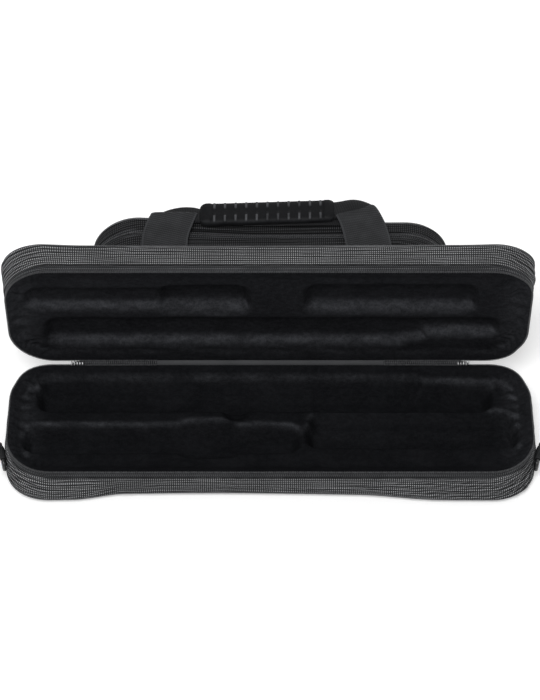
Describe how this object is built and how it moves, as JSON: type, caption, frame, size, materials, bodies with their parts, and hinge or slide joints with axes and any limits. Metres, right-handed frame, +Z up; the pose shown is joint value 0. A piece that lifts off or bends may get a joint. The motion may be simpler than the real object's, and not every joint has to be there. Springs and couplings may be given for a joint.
{
  "type": "flute case",
  "caption": "Soft zipped flute case standing open, with plush recessed padding in tray and lid, a zipped accessory pocket, webbing handle and end rings.",
  "frame": {"origin": "centre of the tray's underside", "axes": "+X along the case, +Y towards the hinge, +Z up from the surface it stands on"},
  "size_m": [0.4446, 0.1932, 0.1506],
  "materials": {
    "woven_cover": "matte",
    "padding_foam": "matte",
    "plush_lining": "matte",
    "zip_tape": "matte",
    "zip_teeth": "satin",
    "seam_piping": "satin",
    "hinge_cloth": "matte",
    "webbing": "matte",
    "grip_rubber": "satin",
    "ring_plastic": "satin",
    "slider_metal": "satin"
  },
  "bodies": {
    "tray": {"tray_side_band": "woven_cover", "tray_outer_panel": "woven_cover", "tray_seam_welt": "seam_piping", "tray_foam": "padding_foam", "tray_lining": "plush_lining", "tray_zip_tape": "zip_tape", "tray_zip_teeth": "zip_teeth", "tray_hinge_leaf": "hinge_cloth", "ring_tab_left": "webbing", "ring_tab_right": "webbing"},
    "lid": {"lid_side_band": "woven_cover", "lid_outer_panel": "woven_cover", "lid_seam_welt": "seam_piping", "lid_foam": "padding_foam", "lid_lining": "plush_lining", "lid_zip_tape": "zip_tape", "lid_zip_teeth": "zip_teeth", "lid_hinge_leaf": "hinge_cloth", "pocket_base_band": "woven_cover", "pocket_base_welt": "seam_piping", "pocket_base_zip_tape": "zip_tape", "pocket_base_zip_teeth": "zip_teeth", "pocket_base_hinge_leaf": "hinge_cloth", "strap_anchor_left": "webbing", "strap_anchor_right": "webbing"},
    "pocket_flap": {"pocket_flap_band": "woven_cover", "pocket_flap_panel": "woven_cover", "pocket_flap_welt": "seam_piping", "pocket_flap_zip_tape": "zip_tape", "pocket_flap_zip_teeth": "zip_teeth", "pocket_flap_hinge_leaf": "hinge_cloth"},
    "handle": {"handle_webbing": "webbing", "handle_grip": "grip_rubber"},
    "ring_left": {"end_ring_left": "ring_plastic"},
    "ring_right": {"end_ring_right": "ring_plastic"},
    "slider_left": {"zip_slider_left": "slider_metal"},
    "pull_left": {"zip_pull_left": "slider_metal"},
    "slider_right": {"zip_slider_right": "slider_metal"},
    "pull_right": {"zip_pull_right": "slider_metal"},
    "pocket_slider": {"pocket_zip_slider": "slider_metal"},
    "pocket_pull": {"pocket_zip_pull": "slider_metal"}
  },
  "joints": [
    {"name": "lid_hinge", "type": "hinge", "parent": "tray", "child": "lid", "pos_m": [0, 0.057, 0.036], "axis": [-1, 0, 0], "range_deg": [-90, 30]},
    {"name": "pocket_flap_hinge", "type": "hinge", "parent": "lid", "child": "pocket_flap", "pos_m": [0, 0.109, 0.05], "axis": [-1, 0, 0], "range_deg": [0, 90]},
    {"name": "handle_swing", "type": "hinge", "parent": "lid", "child": "handle", "pos_m": [0, 0.0932, 0.14], "axis": [1, 0, 0], "range_deg": [0, 83]},
    {"name": "ring_left_swing", "type": "hinge", "parent": "tray", "child": "ring_left", "pos_m": [-0.21763, -0.02838, 0.0242], "axis": [-0.225, 0.9744, 0], "range_deg": [0, 160]},
    {"name": "ring_right_swing", "type": "hinge", "parent": "tray", "child": "ring_right", "pos_m": [0.21763, -0.02838, 0.0242], "axis": [-0.225, -0.9744, 0], "range_deg": [0, 160]},
    {"name": "zip_slide_left", "type": "slide", "parent": "tray", "child": "slider_left", "axis": [1, 0, 0], "range_m": [-0.011, 0.06]},
    {"name": "zip_pull_left_turn", "type": "hinge", "parent": "slider_left", "child": "pull_left", "pos_m": [-0.16, 0.0594, 0.0311], "axis": [0, 0, 1], "range_deg": [0, 180]},
    {"name": "zip_slide_right", "type": "slide", "parent": "tray", "child": "slider_right", "axis": [-1, 0, 0], "range_m": [-0.011, 0.06]},
    {"name": "zip_pull_right_turn", "type": "hinge", "parent": "slider_right", "child": "pull_right", "pos_m": [0.16, 0.0594, 0.0311], "axis": [0, 0, -1], "range_deg": [0, 180]},
    {"name": "pocket_zip_slide", "type": "slide", "parent": "lid", "child": "pocket_slider", "axis": [0, 0, 1], "range_m": [-0.02, 0.004]},
    {"name": "pocket_pull_turn", "type": "hinge", "parent": "pocket_slider", "child": "pocket_pull", "pos_m": [0.1442, 0.109, 0.088], "axis": [0, -1, 0], "range_deg": [0, 180]}
  ]
}
